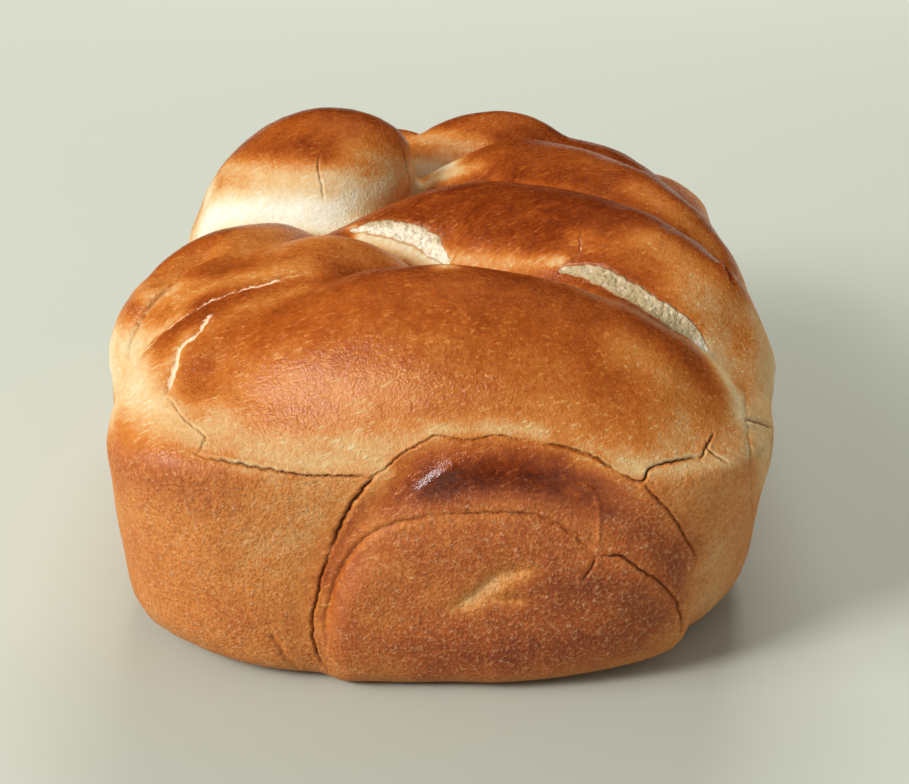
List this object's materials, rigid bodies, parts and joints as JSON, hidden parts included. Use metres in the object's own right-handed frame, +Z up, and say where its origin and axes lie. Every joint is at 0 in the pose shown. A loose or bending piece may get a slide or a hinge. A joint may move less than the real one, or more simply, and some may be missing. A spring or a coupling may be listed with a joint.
{
  "type": "plaited brioche loaf",
  "caption": "Tin-baked brioche loaf with a plaited, risen top and its folded end showing at the front.",
  "frame": {"origin": "middle of the bounding box, at the flat foot that the loaf stands on", "axes": "+Y from the folded end along the loaf, +Z up, +X to the right seen from the folded end"},
  "size_m": [0.1332, 0.188, 0.08],
  "materials": {
    "crust": "egg-washed golden brown crust, satin on the strands, rough and matt where the tin held it"
  },
  "bodies": {
    "root": {"loaf": "crust"}
  },
  "joints": []
}
